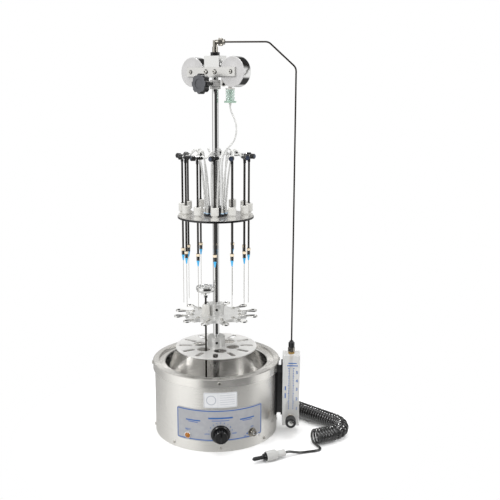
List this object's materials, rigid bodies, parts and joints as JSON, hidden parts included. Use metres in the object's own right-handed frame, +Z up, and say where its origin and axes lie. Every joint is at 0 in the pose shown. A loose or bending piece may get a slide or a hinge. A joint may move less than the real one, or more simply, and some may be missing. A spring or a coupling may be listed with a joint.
{
  "type": "nitrogen sample evaporator",
  "caption": "Bench evaporator: round heated bath, centre post with slotted plate and sample ring, sliding gas manifold with needles, flowmeter and recoil hose.",
  "frame": {"origin": "centre of the base, on the surface it stands on", "axes": "+Z up along the post, the control panel faces -Y, the flowmeter stands to the +X side"},
  "size_m": [0.4012, 0.3181, 0.7915],
  "materials": {
    "brushed_stainless": "vertical soft brush, clean",
    "drawn_stainless": "satin, drawn sheet",
    "panel_sheet": "satin grey with a blue border",
    "lamp_amber": "translucent amber lens in a bright bezel",
    "black_plastic": "moulded, semi gloss",
    "heater_metal": "heat tinted",
    "bright_chrome": "polished",
    "ground_steel": "ground and polished rod",
    "satin_aluminium": "satin",
    "white_hub": "off-white, machined",
    "spring_steel": "bright strip",
    "white_plastic": "turned white plastic",
    "thermometer_steel": "polished case and stem",
    "black_anodised": "satin black disk",
    "black_plastic_hub": "satin black with white barbs",
    "clear_tubing": "clear flexible tubing",
    "nickel_block": "satin light block",
    "drum_face": "white spool with a steel band",
    "grey_collar": "satin grey",
    "line_steel": "bright drawn tube",
    "cup_plastic": "clear cup, white elbow, green foot",
    "clear_acrylic": "polished acrylic block",
    "float_black": "turned float",
    "black_paint": "satin black",
    "hose_black": "smooth black recoil hose",
    "needle_steel": "bright tube, white collar, blue hub",
    "valve_black": "glossy black with a grey face"
  },
  "bodies": {
    "root": {"outer_housing": "brushed_stainless", "bath_well": "drawn_stainless", "base_pan": "drawn_stainless", "control_panel": "panel_sheet", "pilot_lamp": "lamp_amber", "heater_unit": "heater_metal", "toggle_bushing": "bright_chrome", "fasteners": "bright_chrome", "center_rod": "ground_steel", "top_block": "nickel_block", "counterbalance_bars": "satin_aluminium", "clamp_collar": "grey_collar", "gas_line": "line_steel", "filter_cup": "cup_plastic", "flowmeter_body": "clear_acrylic", "flowmeter_bracket": "black_paint", "hose_tail": "hose_black", "hose_coil": "hose_black", "hose_lead": "hose_black", "hose_plug": "white_plastic"},
    "manifold": {"manifold_disk": "black_anodised", "gas_hub": "black_plastic_hub", "needle_collars": "white_plastic", "gas_tubing": "clear_tubing"},
    "plate": {"support_plate": "satin_aluminium"},
    "holder": {"sample_holder": "white_hub", "holder_clips": "spring_steel", "thermometer_bushing": "white_plastic"},
    "thermo": {"thermometer": "thermometer_steel"},
    "heat": {"heat_knob": "black_plastic"},
    "toggle": {"toggle_lever": "bright_chrome"},
    "flow": {"flowmeter_knob": "black_plastic"},
    "float": {"flowmeter_float": "float_black"},
    "clamp": {"clamp_knob": "black_plastic"},
    "drum_left": {"left_spring_drum": "drum_face"},
    "drum_right": {"right_spring_drum": "drum_face"},
    "gas_needle_01": {"needle_01": "needle_steel"},
    "gas_valve_01": {"valve_knob_01": "valve_black"},
    "gas_needle_02": {"needle_02": "needle_steel"},
    "gas_valve_02": {"valve_knob_02": "valve_black"},
    "gas_needle_03": {"needle_03": "needle_steel"},
    "gas_valve_03": {"valve_knob_03": "valve_black"},
    "gas_needle_04": {"needle_04": "needle_steel"},
    "gas_valve_04": {"valve_knob_04": "valve_black"},
    "gas_needle_05": {"needle_05": "needle_steel"},
    "gas_valve_05": {"valve_knob_05": "valve_black"},
    "gas_needle_06": {"needle_06": "needle_steel"},
    "gas_valve_06": {"valve_knob_06": "valve_black"},
    "gas_needle_07": {"needle_07": "needle_steel"},
    "gas_valve_07": {"valve_knob_07": "valve_black"},
    "gas_needle_08": {"needle_08": "needle_steel"},
    "gas_valve_08": {"valve_knob_08": "valve_black"},
    "gas_needle_09": {"needle_09": "needle_steel"},
    "gas_valve_09": {"valve_knob_09": "valve_black"},
    "gas_needle_10": {"needle_10": "needle_steel"},
    "gas_valve_10": {"valve_knob_10": "valve_black"},
    "gas_needle_11": {"needle_11": "needle_steel"},
    "gas_valve_11": {"valve_knob_11": "valve_black"},
    "gas_needle_12": {"needle_12": "needle_steel"},
    "gas_valve_12": {"valve_knob_12": "valve_black"}
  },
  "joints": [
    {"name": "manifold_lift", "type": "slide", "parent": "root", "child": "manifold", "axis": [0, 0, 1], "range_m": [-0.08, 0.05], "deforming": ["gas_tubing"]},
    {"name": "plate_height", "type": "slide", "parent": "root", "child": "plate", "axis": [0, 0, 1], "range_m": [-0.06, 0.01]},
    {"name": "holder_height", "type": "slide", "parent": "root", "child": "holder", "axis": [0, 0, 1], "range_m": [-0.015, 0.02]},
    {"name": "thermometer_height", "type": "slide", "parent": "holder", "child": "thermo", "axis": [0, 0, 1], "range_m": [0, 0.03]},
    {"name": "heat_turn", "type": "hinge", "parent": "root", "child": "heat", "pos_m": [0, -0.1286, 0.037], "axis": [0, -1, 0], "range_deg": [-270, 0]},
    {"name": "switch_flip", "type": "hinge", "parent": "root", "child": "toggle", "pos_m": [0.06611, -0.11685, 0.032], "axis": [0.8704, 0.4924, 0], "range_deg": [0, 24]},
    {"name": "flow_turn", "type": "hinge", "parent": "root", "child": "flow", "pos_m": [0.14699, -0.07021, 0.033], "axis": [-0.1392, -0.9903, 0], "range_deg": [-330, 0]},
    {"name": "float_rise", "type": "slide", "parent": "root", "child": "float", "axis": [0, 0, 1], "range_m": [0, 0.08]},
    {"name": "star_turn", "type": "hinge", "parent": "root", "child": "clamp", "pos_m": [-0.02891, -0.03047, 0.70522], "axis": [-0.6884, -0.7254, 0], "range_deg": [0, 180]},
    {"name": "drum_left_spin", "type": "hinge", "parent": "root", "child": "drum_left", "pos_m": [-0.03627, 0.03442, 0.728], "axis": [-0.6884, -0.7254, 0], "range_deg": [-170, 110]},
    {"name": "drum_right_spin", "type": "hinge", "parent": "root", "child": "drum_right", "pos_m": [0.03627, -0.03442, 0.728], "axis": [-0.6884, -0.7254, 0], "range_deg": [-110, 170]},
    {"name": "needle_slide_01", "type": "slide", "parent": "manifold", "child": "gas_needle_01", "axis": [0, 0, 1], "range_m": [-0.03, 0.02], "deforming": ["gas_tubing"]},
    {"name": "valve_turn_01", "type": "hinge", "parent": "gas_needle_01", "child": "gas_valve_01", "pos_m": [-0.00598, -0.06573, 0.567], "axis": [-0.6717, -0.7408, 0], "range_deg": [0, 90]},
    {"name": "needle_slide_02", "type": "slide", "parent": "manifold", "child": "gas_needle_02", "axis": [0, 0, 1], "range_m": [-0.03, 0.02], "deforming": ["gas_tubing"]},
    {"name": "valve_turn_02", "type": "hinge", "parent": "gas_needle_02", "child": "gas_valve_02", "pos_m": [0.02768, -0.05991, 0.567], "axis": [-0.2113, -0.9774, 0], "range_deg": [0, 90]},
    {"name": "needle_slide_03", "type": "slide", "parent": "manifold", "child": "gas_needle_03", "axis": [0, 0, 1], "range_m": [-0.03, 0.02], "deforming": ["gas_tubing"]},
    {"name": "valve_turn_03", "type": "hinge", "parent": "gas_needle_03", "child": "gas_valve_03", "pos_m": [0.05393, -0.03805, 0.567], "axis": [0.3057, -0.9521, 0], "range_deg": [0, 90]},
    {"name": "needle_slide_04", "type": "slide", "parent": "manifold", "child": "gas_needle_04", "axis": [0, 0, 1], "range_m": [-0.03, 0.02], "deforming": ["gas_tubing"]},
    {"name": "valve_turn_04", "type": "hinge", "parent": "gas_needle_04", "child": "gas_valve_04", "pos_m": [0.06573, -0.00598, 0.567], "axis": [0.7408, -0.6717, 0], "range_deg": [0, 90]},
    {"name": "needle_slide_05", "type": "slide", "parent": "manifold", "child": "gas_needle_05", "axis": [0, 0, 1], "range_m": [-0.03, 0.02], "deforming": ["gas_tubing"]},
    {"name": "valve_turn_05", "type": "hinge", "parent": "gas_needle_05", "child": "gas_valve_05", "pos_m": [0.05991, 0.02768, 0.567], "axis": [0.9774, -0.2113, 0], "range_deg": [0, 90]},
    {"name": "needle_slide_06", "type": "slide", "parent": "manifold", "child": "gas_needle_06", "axis": [0, 0, 1], "range_m": [-0.03, 0.02], "deforming": ["gas_tubing"]},
    {"name": "valve_turn_06", "type": "hinge", "parent": "gas_needle_06", "child": "gas_valve_06", "pos_m": [0.03805, 0.05393, 0.567], "axis": [0.9521, 0.3057, 0], "range_deg": [0, 90]},
    {"name": "needle_slide_07", "type": "slide", "parent": "manifold", "child": "gas_needle_07", "axis": [0, 0, 1], "range_m": [-0.03, 0.02], "deforming": ["gas_tubing"]},
    {"name": "valve_turn_07", "type": "hinge", "parent": "gas_needle_07", "child": "gas_valve_07", "pos_m": [0.00598, 0.06573, 0.567], "axis": [0.6717, 0.7408, 0], "range_deg": [0, 90]},
    {"name": "needle_slide_08", "type": "slide", "parent": "manifold", "child": "gas_needle_08", "axis": [0, 0, 1], "range_m": [-0.03, 0.02], "deforming": ["gas_tubing"]},
    {"name": "valve_turn_08", "type": "hinge", "parent": "gas_needle_08", "child": "gas_valve_08", "pos_m": [-0.02768, 0.05991, 0.567], "axis": [0.2113, 0.9774, 0], "range_deg": [0, 90]},
    {"name": "needle_slide_09", "type": "slide", "parent": "manifold", "child": "gas_needle_09", "axis": [0, 0, 1], "range_m": [-0.03, 0.02], "deforming": ["gas_tubing"]},
    {"name": "valve_turn_09", "type": "hinge", "parent": "gas_needle_09", "child": "gas_valve_09", "pos_m": [-0.05393, 0.03805, 0.567], "axis": [-0.3057, 0.9521, 0], "range_deg": [0, 90]},
    {"name": "needle_slide_10", "type": "slide", "parent": "manifold", "child": "gas_needle_10", "axis": [0, 0, 1], "range_m": [-0.03, 0.02], "deforming": ["gas_tubing"]},
    {"name": "valve_turn_10", "type": "hinge", "parent": "gas_needle_10", "child": "gas_valve_10", "pos_m": [-0.06573, 0.00598, 0.567], "axis": [-0.7408, 0.6717, 0], "range_deg": [0, 90]},
    {"name": "needle_slide_11", "type": "slide", "parent": "manifold", "child": "gas_needle_11", "axis": [0, 0, 1], "range_m": [-0.03, 0.02], "deforming": ["gas_tubing"]},
    {"name": "valve_turn_11", "type": "hinge", "parent": "gas_needle_11", "child": "gas_valve_11", "pos_m": [-0.05991, -0.02768, 0.567], "axis": [-0.9774, 0.2113, 0], "range_deg": [0, 90]},
    {"name": "needle_slide_12", "type": "slide", "parent": "manifold", "child": "gas_needle_12", "axis": [0, 0, 1], "range_m": [-0.03, 0.02], "deforming": ["gas_tubing"]},
    {"name": "valve_turn_12", "type": "hinge", "parent": "gas_needle_12", "child": "gas_valve_12", "pos_m": [-0.03805, -0.05393, 0.567], "axis": [-0.9521, -0.3057, 0], "range_deg": [0, 90]}
  ],
  "couplings": [
    {"joint": "drum_left_spin", "follows": "manifold_lift", "rad_per_m": 35},
    {"joint": "drum_right_spin", "follows": "manifold_lift", "rad_per_m": -35}
  ]
}
